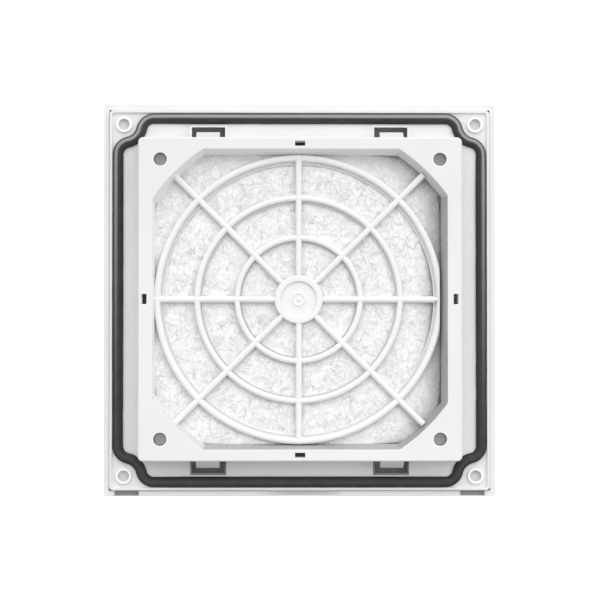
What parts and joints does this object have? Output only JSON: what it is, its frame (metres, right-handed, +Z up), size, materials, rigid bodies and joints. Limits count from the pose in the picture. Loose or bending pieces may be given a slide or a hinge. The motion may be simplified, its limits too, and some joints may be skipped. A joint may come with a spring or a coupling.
{
  "type": "enclosure exit filter",
  "caption": "Square enclosure exit filter: louvred pull-off cover, sealed flange with snap tongues, filter mat and a round finger guard over a recessed fan opening.",
  "frame": {"origin": "centre of the plane where the flange's rim seats on the panel's outer face, which is also the centre of the panel's cut-out", "axes": "+Y along the way the box goes into the enclosure, square to the panel; +Z up; +X to the left as seen from behind, inside the enclosure"},
  "size_m": [0.1484, 0.03, 0.1484],
  "materials": {
    "frame_plastic": "fine satin",
    "guard_plastic": "fine satin",
    "gasket_foam": "foam skin",
    "mat_fleece": "fleece",
    "cover_plastic": "fine satin"
  },
  "bodies": {
    "frame": {"base_frame": "frame_plastic", "finger_guard": "guard_plastic", "gasket": "gasket_foam", "filter_mat": "mat_fleece"},
    "cover": {"front_cover": "cover_plastic"}
  },
  "joints": [
    {"name": "cover_slide", "type": "slide", "parent": "frame", "child": "cover", "axis": [0, -1, 0], "range_m": [0, 0.025]}
  ]
}
